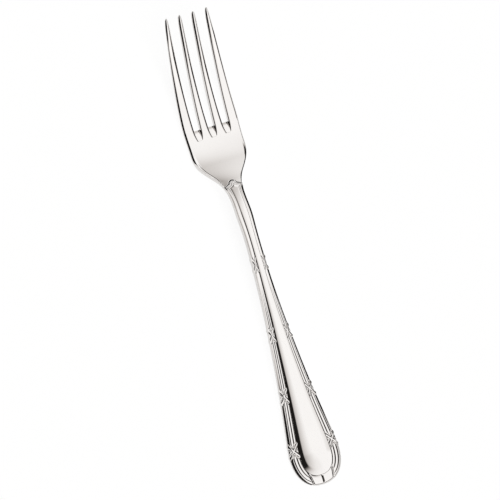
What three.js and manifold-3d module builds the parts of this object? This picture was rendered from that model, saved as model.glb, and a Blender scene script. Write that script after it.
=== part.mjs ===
import * as THREE from 'three'
import { mergeVertices } from 'three/addons/utils/BufferGeometryUtils.js'
import Module from 'manifold-3d'

// A four-tined serving fork in polished steel with a reeded, ribbon-tied handle.
// It lies on its back, front face up: tine tips towards +Y, handle end towards -Y.
// Sizes are in millimetres. A place "along" the fork is counted from the tine tips.

// Lengths of the regions, from the tine tips to the handle's end, and places within them
const TINE_LENGTH = 56
const HEAD_LENGTH = 18
const NECK_LENGTH = 22
const STEM_LENGTH = 44
const HANDLE_LENGTH = 72
const END_LENGTH = 28
const REST_INTO_HEAD = 9.9
const CREST_INTO_STEM = 8
const NARROWEST_INTO_STEM = 18

// Widths of the outline
const TIP_SPREAD = 24
const HEAD_WIDTH = 30.3
const NECK_WIDTH = 8.1
const STEM_WIDTH = 6.9
const HANDLE_WIDTH = 27
const END_ROUND = 16

// Heights of the back above the table, and thicknesses
const TIP_RISE = 14.1
const STEM_RISE = 5.9
const REST_DEPTH = 0.12
const TIP_THICKNESS = 1.6
const HEAD_THICKNESS = 2.65
const STEM_THICKNESS = 3.7
const END_THICKNESS = 2.5

// Rounded back of the head, eased edges, and the steep bevel along the neck
const HEAD_BACK_CURVE = 1
const EDGE_EASE = 0.4
const NECK_BEVEL = 0.9
const NECK_BEVEL_DROP = 1.6

// Tines and the slots between them
const SLOT_PITCH_AT_TIPS = 7.4
const SLOT_PITCH_AT_ROOTS = 7.85
const TINE_TIP_ROUND = 6
const TINE_TIP_WIDTH = 0.7
const INNER_TINE_WIDTH_AT_TIP = 2.1
const SLOT_WIDTH_AT_ROOTS = 3.7
const SLOT_RAMP = 5.6
const SLOT_RUN_INTO_HEAD = 6.6
const SLOT_END_ROUND = 3

// Reeded border, ribbon ties and the hollow panel between the borders
const ARCH_LENGTH = 4.4
const ARCH_SETBACK = 9.9
const ARCH_STEP = 0.45
const BORDER_WIDTH = 5
const BORDER_WIDTH_ON_STEM = 2
const REEDS = 3
const REED_ROUND = 0.35
const PANEL_HOLLOW = 0.5
const FIRST_TIE = 31.4
const TIE_SPACINGS = [35.3, 30.4, 26.9]
const TIE_HALF_SPAN = 3
const RIBBON_WIDTH = 1.4
const RIBBON_LIFT = 0.25
const END_BAND_WIDTH = 6.2
const END_BAND_GAP = 1
const END_BAND_LIFT = 0.2

// Where each region starts
const HEAD_AT = TINE_LENGTH
const NECK_AT = HEAD_AT + HEAD_LENGTH
const STEM_AT = NECK_AT + NECK_LENGTH
const HANDLE_AT = STEM_AT + STEM_LENGTH
const END_AT = HANDLE_AT + HANDLE_LENGTH
const LENGTH = END_AT + END_LENGTH
const WIDEST_AT = LENGTH - END_ROUND
const NARROWEST_AT = STEM_AT + NARROWEST_INTO_STEM
const REST_AT = HEAD_AT + REST_INTO_HEAD
const CREST_AT = STEM_AT + CREST_INTO_STEM

const mix = THREE.MathUtils.lerp

// A stretch of a curve: shares of its length, each with its share of the change.
const sweep = (from, to, start, end, shares) =>
  shares.map(([place, change]) => [mix(from, to, place), mix(start, end, change)])

const spline = (stations) => {
  const places = stations.map(([place]) => place)
  const values = stations.map(([, value]) => value)
  const curve = new THREE.CubicInterpolant(places, values, 1)
  return (along) => curve.evaluate(along)[0]
}

// Outline: flaring tines, shouldered head, waisted neck, slim stem, spreading handle
const TINE_FLARE = [[0, 0], [0.25, 0.3], [0.54, 0.61], [0.82, 0.89]]
const SHOULDER = [[0, 1], [0.55, 0.985], [0.89, 0.96]]
const NECK_SWEEP = [[0.09, 0.215], [0.32, 0.57], [0.545, 0.875], [0.77, 1]]
const STEM_TAPER = [[0.33, 0.2], [0.67, 0.68]]
const HANDLE_SPREAD = [[0, 0], [0.127, 0.018], [0.282, 0.095], [0.427, 0.218], [0.573, 0.378],
  [0.718, 0.565], [0.855, 0.788], [0.936, 0.925], [1, 1], [1.06, 1]]
const bodyHalfWidth = spline([
  ...sweep(0, HEAD_AT, TIP_SPREAD / 2, HEAD_WIDTH / 2, TINE_FLARE),
  ...sweep(HEAD_AT, NECK_AT, 0, HEAD_WIDTH / 2, SHOULDER),
  ...sweep(NECK_AT, STEM_AT, HEAD_WIDTH / 2, NECK_WIDTH / 2, NECK_SWEEP),
  ...sweep(STEM_AT, NARROWEST_AT, NECK_WIDTH / 2, STEM_WIDTH / 2, STEM_TAPER),
  ...sweep(NARROWEST_AT, WIDEST_AT, STEM_WIDTH / 2, HANDLE_WIDTH / 2, HANDLE_SPREAD)
])

const END_SQUARENESS = 2.28
const halfWidth = (along) => {
  const share = THREE.MathUtils.clamp((along - WIDEST_AT) / END_ROUND, 0, 1)
  const rounding = (1 - share ** END_SQUARENESS) ** (1 / END_SQUARENESS)
  return share > 0 ? (HANDLE_WIDTH / 2) * rounding : bodyHalfWidth(along)
}

// Side view: raised tips, head and handle end down on the table, arched stem
const TIP_CURVE = [[0, 1], [0.24, 0.62], [0.47, 0.323], [0.71, 0.106], [0.88, 0.022], [1, 0]]
const NECK_CURVE = [[0.16, 0.065], [0.315, 0.255], [0.475, 0.5], [0.63, 0.74], [0.79, 0.925], [1, 1]]
const HANDLE_FALL = [[0.1, 0.06], [0.26, 0.255], [0.452, 0.466], [0.613, 0.655], [0.774, 0.835],
  [0.894, 0.94], [0.98, 1], [1.1, 1]]
const FALL_END = WIDEST_AT + END_ROUND / 4
const backLine = spline([
  ...sweep(0, REST_AT, -REST_DEPTH, TIP_RISE, TIP_CURVE),
  ...sweep(REST_AT, CREST_AT, -REST_DEPTH, STEM_RISE, NECK_CURVE),
  ...sweep(CREST_AT, FALL_END, STEM_RISE, -REST_DEPTH, HANDLE_FALL)
])
const TINE_BODY_PLACE = 0.4
const TINE_BODY_SHARE = 0.85
const NECK_GAIN_SHARE = 0.25
const HANDLE_LOSS_SHARE = 0.5
const thickness = spline([
  [0, TIP_THICKNESS],
  [TINE_BODY_PLACE * TINE_LENGTH, mix(TIP_THICKNESS, HEAD_THICKNESS, TINE_BODY_SHARE)],
  [HEAD_AT, HEAD_THICKNESS],
  [NECK_AT, mix(HEAD_THICKNESS, STEM_THICKNESS, NECK_GAIN_SHARE)],
  [CREST_AT, STEM_THICKNESS],
  [HANDLE_AT, mix(STEM_THICKNESS, END_THICKNESS, HANDLE_LOSS_SHARE)],
  [END_AT, END_THICKNESS],
  [LENGTH, END_THICKNESS]
])

// The back's cross curve fades out where the neck runs into the stem.
const crossCurve = (along, x) => {
  const fade = 1 - THREE.MathUtils.smoothstep(along, NECK_AT, STEM_AT)
  return fade * (x / (HEAD_WIDTH / 2)) ** 2
}
const backAt = (along, x) => Math.max(0, backLine(along) + HEAD_BACK_CURVE * crossCurve(along, x))
const frontAt = (along) => backLine(along) + thickness(along)

// Solids
const wasm = await Module()
wasm.setup()
const place = (x, along, z) => new THREE.Vector3(x, LENGTH / 2 - along, z)

const toSolid = (geometry) => {
  const bare = geometry.clone()
  bare.deleteAttribute('normal')
  bare.deleteAttribute('uv')
  const merged = mergeVertices(bare, 1e-5)
  const vertProperties = new Float32Array(merged.attributes.position.array)
  const triVerts = new Uint32Array(merged.index.array)
  return new wasm.Manifold(new wasm.Mesh({ numProp: 3, vertProperties, triVerts }))
}

const toGeometry = (solid) => {
  const mesh = solid.getMesh()
  const geometry = new THREE.BufferGeometry()
  const position = new THREE.BufferAttribute(mesh.vertProperties, 3)
  geometry.setAttribute('position', position)
  geometry.setIndex(new THREE.BufferAttribute(mesh.triVerts, 1))
  geometry.computeVertexNormals()
  return geometry
}

// A closed skin over rings of points, with a flat cap on each end that is open.
const skin = (rings, capped = true) => {
  const count = rings[0].length
  const points = rings.flat()
  const faces = []
  const quad = (a, b, c, d) => faces.push(a, b, c, a, c, d)
  for (let i = 0; i + 1 < rings.length; i++) {
    for (let j = 0; j < count; j++) {
      const next = (j + 1) % count
      quad(i * count + j, i * count + next, (i + 1) * count + next, (i + 1) * count + j)
    }
  }
  const cap = (ring, turned) => {
    const centre = points.length
    const middle = rings[ring].reduce((sum, p) => sum.add(p), new THREE.Vector3())
    points.push(middle.divideScalar(count))
    for (let j = 0; j < count; j++) {
      const edge = [ring * count + j, ring * count + ((j + 1) % count)]
      faces.push(centre, ...(turned ? edge.reverse() : edge))
    }
  }
  if (capped) {
    cap(0, true)
    cap(rings.length - 1, false)
  }
  const geometry = new THREE.BufferGeometry().setFromPoints(points)
  geometry.setIndex(faces)
  return geometry
}

// Turns a skin's faces so that they point out, for skins that may run either way.
const outward = (geometry) => {
  const points = geometry.attributes.position
  const faces = geometry.index.array
  const corner = (i) => new THREE.Vector3().fromBufferAttribute(points, faces[i])
  let volume = 0
  for (let i = 0; i < faces.length; i += 3) {
    volume += corner(i).dot(corner(i + 1).cross(corner(i + 2)))
  }
  if (volume < 0) {
    geometry.setIndex(Array.from(faces).reverse())
  }
  return geometry
}

const steps = (from, to, count) => Array.from({ length: count + 1 }, (_, i) => mix(from, to, i / count))

// Half of a cross-section is given from the middle of the back to the middle of the front,
// and its mirror image closes the ring.
const mirrored = (half) => {
  const other = half.map((p) => new THREE.Vector3(-p.x, p.y, p.z))
  return [...half, ...other.reverse()]
}

// Tines
const slotPitch = (along) => mix(SLOT_PITCH_AT_TIPS, SLOT_PITCH_AT_ROOTS, along / TINE_LENGTH)
const TINE_TAPER = [[0, 0], [0.22, 0.03], [0.41, 0.12], [0.59, 0.29], [0.77, 0.52], [0.93, 0.82], [1, 1]]
const SLOT_END_SHARE = 0.8
const slotWidthAtTips = SLOT_PITCH_AT_TIPS - INNER_TINE_WIDTH_AT_TIP
const slotWidth = spline([
  ...sweep(0, TINE_LENGTH, slotWidthAtTips, SLOT_WIDTH_AT_ROOTS, TINE_TAPER),
  [TINE_LENGTH + SLOT_RUN_INTO_HEAD, SLOT_WIDTH_AT_ROOTS * SLOT_END_SHARE]
])

const tineSides = (along, outer) => {
  const pitch = slotPitch(along)
  const slot = slotWidth(along) / 2
  return outer ? [pitch + slot, halfWidth(along)] : [slot, pitch - slot]
}

const TIP_ROUND_PLACES = [0, 0.12, 0.35, 0.7, 1]
const EASE_LIMIT = 0.6
const makeTine = (outer, side) => {
  const places = TIP_ROUND_PLACES.map((share) => share * TINE_TIP_ROUND)
  const body = steps(TINE_TIP_ROUND, TINE_LENGTH, 11).slice(1)
  const rings = [...places, ...body].map((along) => {
    const [near, far] = tineSides(along, outer)
    const middle = (near + far) / 2
    const share = Math.min(along / TINE_TIP_ROUND, 1)
    const point = Math.sqrt(1 - (1 - share) ** 2)
    const half = mix(TINE_TIP_WIDTH / 2, (far - near) / 2, point)
    const ease = Math.min(EDGE_EASE, EASE_LIMIT * half)
    const back = backAt(along, middle)
    const front = frontAt(along)
    const outline = [[half, back + ease], [half, front - ease], [half - ease, front], [ease - half, front],
      [-half, front - ease], [-half, back + ease], [ease - half, back], [half - ease, back]]
    return outline.map(([x, z]) => place(side * middle + x, along, z))
  })
  return toSolid(skin(rings))
}

// Head and neck plate: it steps down below the arch and ends tucked inside the handle.
const NECK_TUCK = 0.6
const NECK_PLATE_SHARE = 0.875
const makeHeadBlank = () => {
  const end = NECK_AT + NECK_PLATE_SHARE * NECK_LENGTH
  const places = [...steps(HEAD_AT, NECK_AT, 10), ...steps(NECK_AT, end, 16).slice(1)]
  const rings = places.map((along) => {
    const tuck = NECK_TUCK * THREE.MathUtils.smoothstep(along, ARCH_AT, end)
    const sink = tuck + ARCH_STEP * THREE.MathUtils.smoothstep(along, NECK_AT, ARCH_AT)
    const half = halfWidth(along) - tuck
    const steep = THREE.MathUtils.smoothstep(along, (HEAD_AT + NECK_AT) / 2, NECK_AT)
    const bevel = mix(EDGE_EASE, NECK_BEVEL, steep)
    const drop = mix(EDGE_EASE, NECK_BEVEL_DROP, steep)
    const back = steps(0, half - EDGE_EASE, 4).map((x) => place(x, along, backAt(along, x) + tuck))
    const front = steps(half - bevel, 0, 5).map((x) => place(x, along, frontAt(along) - sink))
    const low = place(half, along, backAt(along, half) + tuck + EDGE_EASE)
    const high = place(half, along, frontAt(along) - sink - drop)
    const ring = mirrored([...back, low, high, ...front])
    return ring.filter((p, i) => i !== ring.length - 1 && i !== ring.length / 2)
  })
  return toSolid(skin(rings))
}

// A slot's end: a round-ended cut whose floor slopes up to the front of the head
const CUT_BEYOND = 2
const SLOT_POINT = 0.1
const SLOT_FLOOR_SHARE = 0.8
const SLOT_LIP_SHARE = 0.7
const SLOT_ROUND_PLACES = [0.4, 0.7, 0.9, 1]
const makeSlot = (index) => {
  const end = HEAD_AT + SLOT_RUN_INTO_HEAD
  const roundFrom = end - SLOT_END_ROUND
  const places = [HEAD_AT - CUT_BEYOND, ...steps(HEAD_AT, roundFrom, 3)]
  places.push(...SLOT_ROUND_PLACES.map((share) => mix(roundFrom, end, share)))
  const rings = places.map((along) => {
    const middle = index * slotPitch(along)
    const share = THREE.MathUtils.clamp((along - roundFrom) / SLOT_END_ROUND, 0, 1)
    const half = Math.max(SLOT_POINT, (slotWidth(along) / 2) * Math.sqrt(1 - share ** 2))
    const front = frontAt(along)
    const back = backAt(along, middle)
    const floor = front - (front - back) * ((end - along) / SLOT_RAMP)
    const lip = Math.min(front - EDGE_EASE, mix(floor, front, SLOT_LIP_SHARE))
    const wide = half + EDGE_EASE
    const top = front + CUT_BEYOND
    const outline = [[half * SLOT_FLOOR_SHARE, floor], [half, lip], [wide, front], [wide, top]]
    const full = [...outline, ...outline.slice().reverse().map(([x, z]) => [-x, z])]
    return full.map(([x, z]) => place(middle + x, along, z))
  })
  return toSolid(skin(rings))
}

// Handle outline: the arch over the neck, both sides, and the rounded end, as one loop
const ARCH_AT = NECK_AT + ARCH_SETBACK
const archHalf = halfWidth(ARCH_AT + ARCH_LENGTH)
const quarter = steps(0, Math.PI / 2, 7)
const archSide = quarter.map((a) => [archHalf * Math.sin(a), ARCH_AT + ARCH_LENGTH * (1 - Math.cos(a))])
const longPlaces = steps(ARCH_AT + ARCH_LENGTH, WIDEST_AT, 44).slice(1)
const longSide = longPlaces.map((along) => [halfWidth(along), along])
const endSide = quarter.slice(1).map((a) => {
  const along = WIDEST_AT + END_ROUND * Math.sin(a)
  return [halfWidth(along), along]
})
const rightSide = [...archSide, ...longSide, ...endSide]
const leftSide = rightSide.slice(1, -1).reverse().map(([x, along]) => [-x, along])
const loop = new THREE.CatmullRomCurve3(
  [...rightSide, ...leftSide].map(([x, along]) => new THREE.Vector3(x, along, 0)), true)
loop.arcLengthDivisions = 4000
const loopLength = loop.getLength()

// A point on the front border: distance round the loop, and distance in from the edge
const borderPoint = (round, inset) => {
  const share = THREE.MathUtils.euclideanModulo(round / loopLength, 1)
  const edge = loop.getPointAt(share)
  const run = loop.getTangentAt(share)
  return [edge.x - run.y * inset, edge.y + run.x * inset]
}

const BORDER_GROWTH = Math.log(BORDER_WIDTH / BORDER_WIDTH_ON_STEM) / Math.log(HANDLE_WIDTH / STEM_WIDTH)
const borderWidth = (along) => {
  const within = THREE.MathUtils.clamp(along, ARCH_AT + ARCH_LENGTH, WIDEST_AT)
  return BORDER_WIDTH_ON_STEM * ((2 * halfWidth(within)) / STEM_WIDTH) ** BORDER_GROWTH
}
const reedHeight = (along) => REED_ROUND * (borderWidth(along) / REEDS)

// Half a row across the handle: eased back edge, wall, reeds, then the hollow panel
const REED_STEPS = 4
const PANEL_STEPS = 4
const handleRow = (round) => {
  const [, edgeAlong] = borderPoint(round, 0)
  const border = borderWidth(edgeAlong)
  const rise = reedHeight(edgeAlong)
  const at = (inset, level) => {
    const [x, along] = borderPoint(round, inset)
    return place(Math.max(x, 0), along, level(along))
  }
  const half = []
  half.push(at(2 * EDGE_EASE, (along) => backAt(along, 0)))
  half.push(at(0, (along) => backAt(along, 0) + EDGE_EASE))
  half.push(at(0, (along) => frontAt(along) - rise))
  for (let i = 1; i <= REEDS * REED_STEPS; i++) {
    const bump = Math.abs(Math.sin((Math.PI * i) / REED_STEPS))
    half.push(at((border * i) / (REEDS * REED_STEPS), (along) => frontAt(along) - rise * (1 - bump)))
  }
  const [innerX, innerAlong] = borderPoint(round, border)
  const depth = PANEL_HOLLOW * Math.min(1, (2 * Math.max(innerX, 0)) / (HANDLE_WIDTH / 2))
  for (let i = 1; i <= PANEL_STEPS; i++) {
    const out = 1 - i / PANEL_STEPS
    const level = frontAt(innerAlong) - rise - depth * (1 - out ** 3)
    half.push(place(Math.max(innerX, 0) * out, innerAlong, level))
  }
  return half
}

const ROW_SPACING = 3.6
const FINE_SPACING = 1.3
const FINE_AT_ARCH = 8
const FINE_AT_END = 30
const makeHandle = () => {
  const whole = loopLength / 2
  const spaced = (from, to, gap) => steps(from, to, Math.round((to - from) / gap)).slice(1)
  const endStart = whole - FINE_AT_END
  const places = [0, ...spaced(0, FINE_AT_ARCH, FINE_SPACING)]
  places.push(...spaced(FINE_AT_ARCH, endStart, ROW_SPACING))
  places.push(...spaced(endStart, whole, FINE_SPACING))
  const rings = places.map((round) => {
    const ring = mirrored(handleRow(round))
    return ring.filter((p, i) => i !== ring.length / 2)
  })
  return toSolid(skin(rings, false))
}

// One ribbon arm across the border, from the outer edge to the panel
const ARM_STEPS = 6
const makeRibbonArm = (round, slant) => {
  const rings = steps(0, 1, ARM_STEPS).map((share) => {
    const run = mix(-TIE_HALF_SPAN, TIE_HALF_SPAN, share) * slant
    const [, along] = borderPoint(round + run, 0)
    const border = borderWidth(along)
    const drop = reedHeight(along)
    const inset = mix(-RIBBON_LIFT, border + RIBBON_LIFT, share)
    const dip = (2 * Math.abs(share - 0.5)) ** 4
    const top = RIBBON_LIFT - dip * (drop + RIBBON_LIFT)
    const bottom = -drop - 2 * RIBBON_LIFT
    const shoulder = top - RIBBON_LIFT / 2
    const outline = [[-0.5, bottom], [-0.5, shoulder], [0, top], [0.5, shoulder], [0.5, bottom]]
    return outline.map(([across, z]) => {
      const [x, a] = borderPoint(round + run + across * RIBBON_WIDTH, inset)
      return place(x, a, frontAt(a) + z)
    })
  })
  return toSolid(outward(skin(rings)))
}

// One of the two plain bands that bind the border at the very end of the handle
const BAND_STEPS = 5
const BAND_OUTER_SHARE = 0.02
const BAND_TOP_FROM = 0.25
const BAND_TOP_TO = 0.75
const BAND_INNER_SHARE = 1.05
const makeEndBand = (side) => {
  const middle = loopLength / 2
  const rings = steps(END_BAND_GAP / 2, END_BAND_GAP / 2 + END_BAND_WIDTH, BAND_STEPS).map((run) => {
    const round = middle + side * run
    const [, along] = borderPoint(round, 0)
    const border = borderWidth(along)
    const drop = reedHeight(along)
    const outer = [[BAND_OUTER_SHARE, -2 * drop], [BAND_OUTER_SHARE, -drop / 2]]
    const top = [[BAND_TOP_FROM, END_BAND_LIFT], [BAND_TOP_TO, END_BAND_LIFT]]
    const outline = [...outer, ...top, [BAND_INNER_SHARE, -drop], [BAND_INNER_SHARE, -2 * drop]]
    return outline.map(([share, z]) => {
      const [x, a] = borderPoint(round, share * border)
      return place(x, a, frontAt(a) + z)
    })
  })
  return toSolid(outward(skin(rings)))
}

// Cuts a region of the fork out of a solid, between two places along it.
const region = (solid, from, to) => {
  const wide = 2 * HEAD_WIDTH
  const block = new THREE.BoxGeometry(wide, to - from, wide)
  block.translate(0, LENGTH / 2 - (from + to) / 2, 0)
  return solid.intersect(toSolid(block))
}

let head = makeHeadBlank()
for (const index of [-1, 0, 1]) {
  head = head.subtract(makeSlot(index))
}
let handle = makeHandle()
const roundAt = (along) => {
  const half = steps(0, loopLength / 2, 2000)
  return half.find((round) => loop.getPointAt(round / loopLength).y >= along)
}
let tieAt = STEM_AT + FIRST_TIE
for (const spacing of [0, ...TIE_SPACINGS]) {
  tieAt += spacing
  const round = roundAt(tieAt)
  for (const slant of [-1, 1]) {
    handle = handle.add(makeRibbonArm(round, slant))
    handle = handle.add(makeRibbonArm(loopLength - round, slant))
  }
}
for (const side of [-1, 1]) {
  handle = handle.add(makeEndBand(side))
}

// Regions of the fork, meeting face to face
const fork = new THREE.Group()
const addPiece = (name, solid, color, roughness) => {
  const material = new THREE.MeshStandardMaterial({ color, roughness, metalness: 1 })
  const mesh = new THREE.Mesh(toGeometry(solid), material)
  mesh.name = name
  fork.add(mesh)
}

const STEEL = 0xe6e2de
const POLISH = 0.06
addPiece('outer_left_tine', makeTine(true, -1), STEEL, POLISH)
addPiece('inner_left_tine', makeTine(false, -1), STEEL, POLISH)
addPiece('inner_right_tine', makeTine(false, 1), STEEL, POLISH)
addPiece('outer_right_tine', makeTine(true, 1), STEEL, POLISH)
addPiece('head', region(head, HEAD_AT, NECK_AT), STEEL, POLISH)
addPiece('neck', region(head.add(handle), NECK_AT, STEM_AT), STEEL, POLISH)
addPiece('stem', region(handle, STEM_AT, HANDLE_AT), STEEL, POLISH)
addPiece('handle', region(handle, HANDLE_AT, END_AT), STEEL, POLISH)
addPiece('handle_end', region(handle, END_AT, LENGTH + END_LENGTH), STEEL, POLISH)

export default fork
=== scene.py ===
import math
from functools import partial

import bpy
import numpy as np
from bpy.props import FloatProperty, FloatVectorProperty, IntProperty, PointerProperty
from mathutils import Matrix, Vector


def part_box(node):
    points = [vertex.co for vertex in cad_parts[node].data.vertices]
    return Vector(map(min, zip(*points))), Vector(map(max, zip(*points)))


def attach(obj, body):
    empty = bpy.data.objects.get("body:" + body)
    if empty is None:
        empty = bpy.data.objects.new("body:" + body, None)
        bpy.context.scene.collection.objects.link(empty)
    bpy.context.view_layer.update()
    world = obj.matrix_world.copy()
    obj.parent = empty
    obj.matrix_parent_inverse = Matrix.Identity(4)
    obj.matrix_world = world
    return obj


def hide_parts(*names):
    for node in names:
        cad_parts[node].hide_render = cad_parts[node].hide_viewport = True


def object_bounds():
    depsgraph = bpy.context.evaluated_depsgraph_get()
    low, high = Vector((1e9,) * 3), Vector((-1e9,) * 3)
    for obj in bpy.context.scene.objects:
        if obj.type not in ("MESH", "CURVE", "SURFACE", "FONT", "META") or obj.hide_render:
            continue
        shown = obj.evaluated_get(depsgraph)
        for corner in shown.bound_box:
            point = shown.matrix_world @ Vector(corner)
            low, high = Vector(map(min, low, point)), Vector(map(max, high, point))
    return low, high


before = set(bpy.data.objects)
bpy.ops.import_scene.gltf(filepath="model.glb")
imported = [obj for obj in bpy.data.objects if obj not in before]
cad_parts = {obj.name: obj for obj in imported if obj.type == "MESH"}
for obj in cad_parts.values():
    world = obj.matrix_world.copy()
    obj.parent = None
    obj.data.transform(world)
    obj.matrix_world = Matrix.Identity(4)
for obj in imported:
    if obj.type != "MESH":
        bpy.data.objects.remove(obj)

bl_info = {
    "name": "Serving fork",
    "version": (1, 0, 0),
    "blender": (4, 5, 0),
    "location": "View3D > Sidebar > Serving fork",
    "description": "Models a polished four-tined serving fork with a reeded, ribbon-tied handle",
    "category": "Object",
}

CAD_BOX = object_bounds()
LENGTH = CAD_BOX[1][1] - CAD_BOX[0][1]
TIP_Y = CAD_BOX[1][1]


def start_of(node):
    """Where a region of the fork starts, counted from the tine tips."""
    return TIP_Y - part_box(node)[1].y


HEAD_AT = start_of("head")
NECK_AT = start_of("neck")
STEM_AT = start_of("stem")
HANDLE_AT = start_of("handle")
END_AT = start_of("handle_end")


# Sizes and finishes that a user would change

DISTANCE = {"precision": 5, "subtype": "DISTANCE", "unit": "LENGTH"}
ANGLE = {"min": 0.0, "max": 1.0, "subtype": "ANGLE", "unit": "ROTATION"}


def number(name, description, default, **limits):
    return FloatProperty(name=name, description=description, default=default, **limits)


def length(name, description, default):
    return number(name, description, default, min=0.0, **DISTANCE)


def angle(name, description, degrees):
    return number(name, description, math.radians(degrees), **ANGLE)


def tint(name, description, default):
    return FloatVectorProperty(name=name, description=description, default=default, min=0.0, max=1.0,
                               subtype="COLOR")


class FORK_PG_outline(bpy.types.PropertyGroup):
    """Widths of the fork's outline, and heights and thicknesses along it"""

    tip_spread: length("Tip spread", "Width over the four tine tips", 0.024)
    head_width: length("Head width", "Greatest width of the head", 0.0303)
    neck_width: length("Neck width", "Width where the neck meets the stem", 0.0081)
    stem_width: length("Stem width", "Least width of the stem", 0.0069)
    handle_width: length("Handle width", "Greatest width of the handle", 0.0270)
    end_round: length("End round", "Length of the handle's rounded end", 0.0160)
    tip_rise: length("Tip rise", "Height of the tine tips above the table", 0.0141)
    stem_rise: length("Stem rise", "Height of the stem's arch above the table", 0.0059)
    rest_depth: length("Rest depth", "Depth of the flats worn where the fork rests", 0.00012)
    tip_thickness: length("Tip thickness", "Thickness at the tine tips", 0.0016)
    head_thickness: length("Head thickness", "Thickness of the head", 0.00265)
    stem_thickness: length("Stem thickness", "Greatest thickness of the stem", 0.0037)
    end_thickness: length("End thickness", "Thickness at the handle's end", 0.0025)
    neck_hollow: length("Neck hollow", "Rise of the neck's front from its middle to its edge", 0.00015)
    back_curve: length("Back curve", "Rise of the head's back from its middle to its edge", 0.0010)
    edge_round: length("Edge round", "Rounding of the head's and the tines' outer edges", 0.0009)
    neck_bevel: length("Neck bevel", "Width of the steep bevel along the neck's edges", 0.0008)
    neck_bevel_drop: length("Neck bevel drop", "Drop of the steep bevel along the neck's edges", 0.0018)
    neck_lip: length("Neck lip", "Width of the gentle bevel above the steep one", 0.00065)
    neck_fold: length("Neck fold", "Width of the fold between the neck's plate and its lip", 0.00025)
    back_round: length("Back round", "Rounding of the edges on the back", 0.0004)
    neck_back_round: length("Neck back round", "Rounding of the neck's edges on the back", 0.0011)


class FORK_PG_tines(bpy.types.PropertyGroup):
    """Tines and the slots between them"""

    pitch_at_tips: length("Pitch at tips", "Spacing of the slots at the tine tips", 0.0074)
    pitch_at_roots: length("Pitch at roots", "Spacing of the slots at their roots", 0.00785)
    slot_at_tips: length("Slot at tips", "Width of a slot at the tine tips", 0.0053)
    slot_at_roots: length("Slot at roots", "Width of a slot at its root", 0.0037)
    tip_width: length("Tip width", "Width of a tine at its very tip", 0.0007)
    tip_taper: length("Tip taper", "Length over which a tine narrows to its tip", 0.0060)
    tip_cap: length("Tip cap", "Length of a tine's domed tip", 0.0011)
    slot_ramp: length("Slot ramp", "Length of the slope from a slot's root up to the head's front", 0.0054)
    slot_lip: length("Slot lip", "Thickness left at the foot of that slope", 0.00045)
    slot_round: length("Slot round", "Rounding of the tines' edges along the slots", 0.00036)


class FORK_PG_relief(bpy.types.PropertyGroup):
    """Reeded border, ribbon ties and hollow panel of the handle"""

    reeds: IntProperty(name="Reeds", description="Number of reeds in the border", default=3, min=1, max=6)
    border_width: length("Border width", "Width of the border where the handle is widest", 0.0050)
    border_on_stem: length("Border on stem", "Width of the border on the stem", 0.0020)
    reed_height: length("Reed height", "Height of a reed where the handle is widest", 0.00052)
    border_fall: length("Border fall", "Fall of the border's outer reed where the handle is widest", 0.0009)
    border_fall_on_stem: length("Border fall on stem", "Fall of the border's outer reed on the stem",
                                0.00033)
    cove_slope: angle("Cove slope", "Slope of the cove between border and panel", 17)
    panel_slope: angle("Panel slope", "Slope of the panel beside its cove", 5.2)
    arch_setback: length("Arch setback", "Distance from the head's end to the top of the arch", 0.0099)
    arch_length: length("Arch length", "Length of the arch and its shoulders over the neck", 0.00275)
    arch_width: length("Arch width", "Width of the arch between its shoulders", 0.0044)
    arch_rise: length("Arch rise", "Rise of the arch above its shoulders", 0.0019)
    arch_step: length("Arch step", "Step from the neck's front down from the arch", 0.00045)
    first_tie: length("First tie", "Distance from the stem's start to the first ribbon tie", 0.0314)
    second_tie: length("Second tie", "Distance from the first tie to the second", 0.0353)
    third_tie: length("Third tie", "Distance from the second tie to the third", 0.0304)
    fourth_tie: length("Fourth tie", "Distance from the third tie to the fourth", 0.0269)
    tie_half_span: length("Tie half span", "Half the length of a crossed ribbon tie", 0.0030)
    ribbon_width: length("Ribbon width", "Width of a ribbon", 0.0014)
    ribbon_lift: length("Ribbon lift", "Height of a ribbon above the reeds", 0.00028)
    band_width: length("Band width", "Width of each plain band at the handle's end", 0.0062)
    band_groove: length("Band groove", "Width of the grooves beside the plain bands", 0.0010)


class FORK_PG_steel(bpy.types.PropertyGroup):
    """Finish of the polished steel"""

    colour: tint("Colour", "Colour that the polished steel reflects", (0.93, 0.905, 0.885))
    roughness: number("Roughness", "Roughness of the polish", 0.06, min=0.0, max=1.0, subtype="FACTOR")


class FORK_PG_studio(bpy.types.PropertyGroup):
    """Floor, soft light and camera"""

    floor_colour: tint("Floor colour", "Colour of the plain floor", (0.86, 0.86, 0.86))
    light: number("Light", "Strength of the soft overhead light", 1.1, min=0.0)
    distance: length("Camera distance", "Distance from the camera to the fork", 2.0)
    tilt: angle("Camera tilt", "Lean of the camera to the fork's left", 23.46)
    roll: angle("Camera roll", "Turn of the camera about its view", 17.70)
    aim_right: number("Aim right", "Aim point across the picture", 0.000475, **DISTANCE)
    aim_up: number("Aim up", "Aim point up the picture", 0.00058, **DISTANCE)
    lens: number("Lens", "Focal length in millimetres", 293.4, min=1.0)


# Curves of the fork

def mix(start, end, share):
    return start + (end - start) * share


def ease(value, low, high):
    """Smooth step from 0 at low to 1 at high."""
    share = np.clip((value - low) / (high - low), 0.0, 1.0)
    return share * share * (3.0 - 2.0 * share)


def sweep(low, high, start, end, shares):
    """Stations of a stretch: shares of its length, each with its share of the change."""
    return [(mix(low, high, place), mix(start, end, change)) for place, change in shares]


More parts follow.
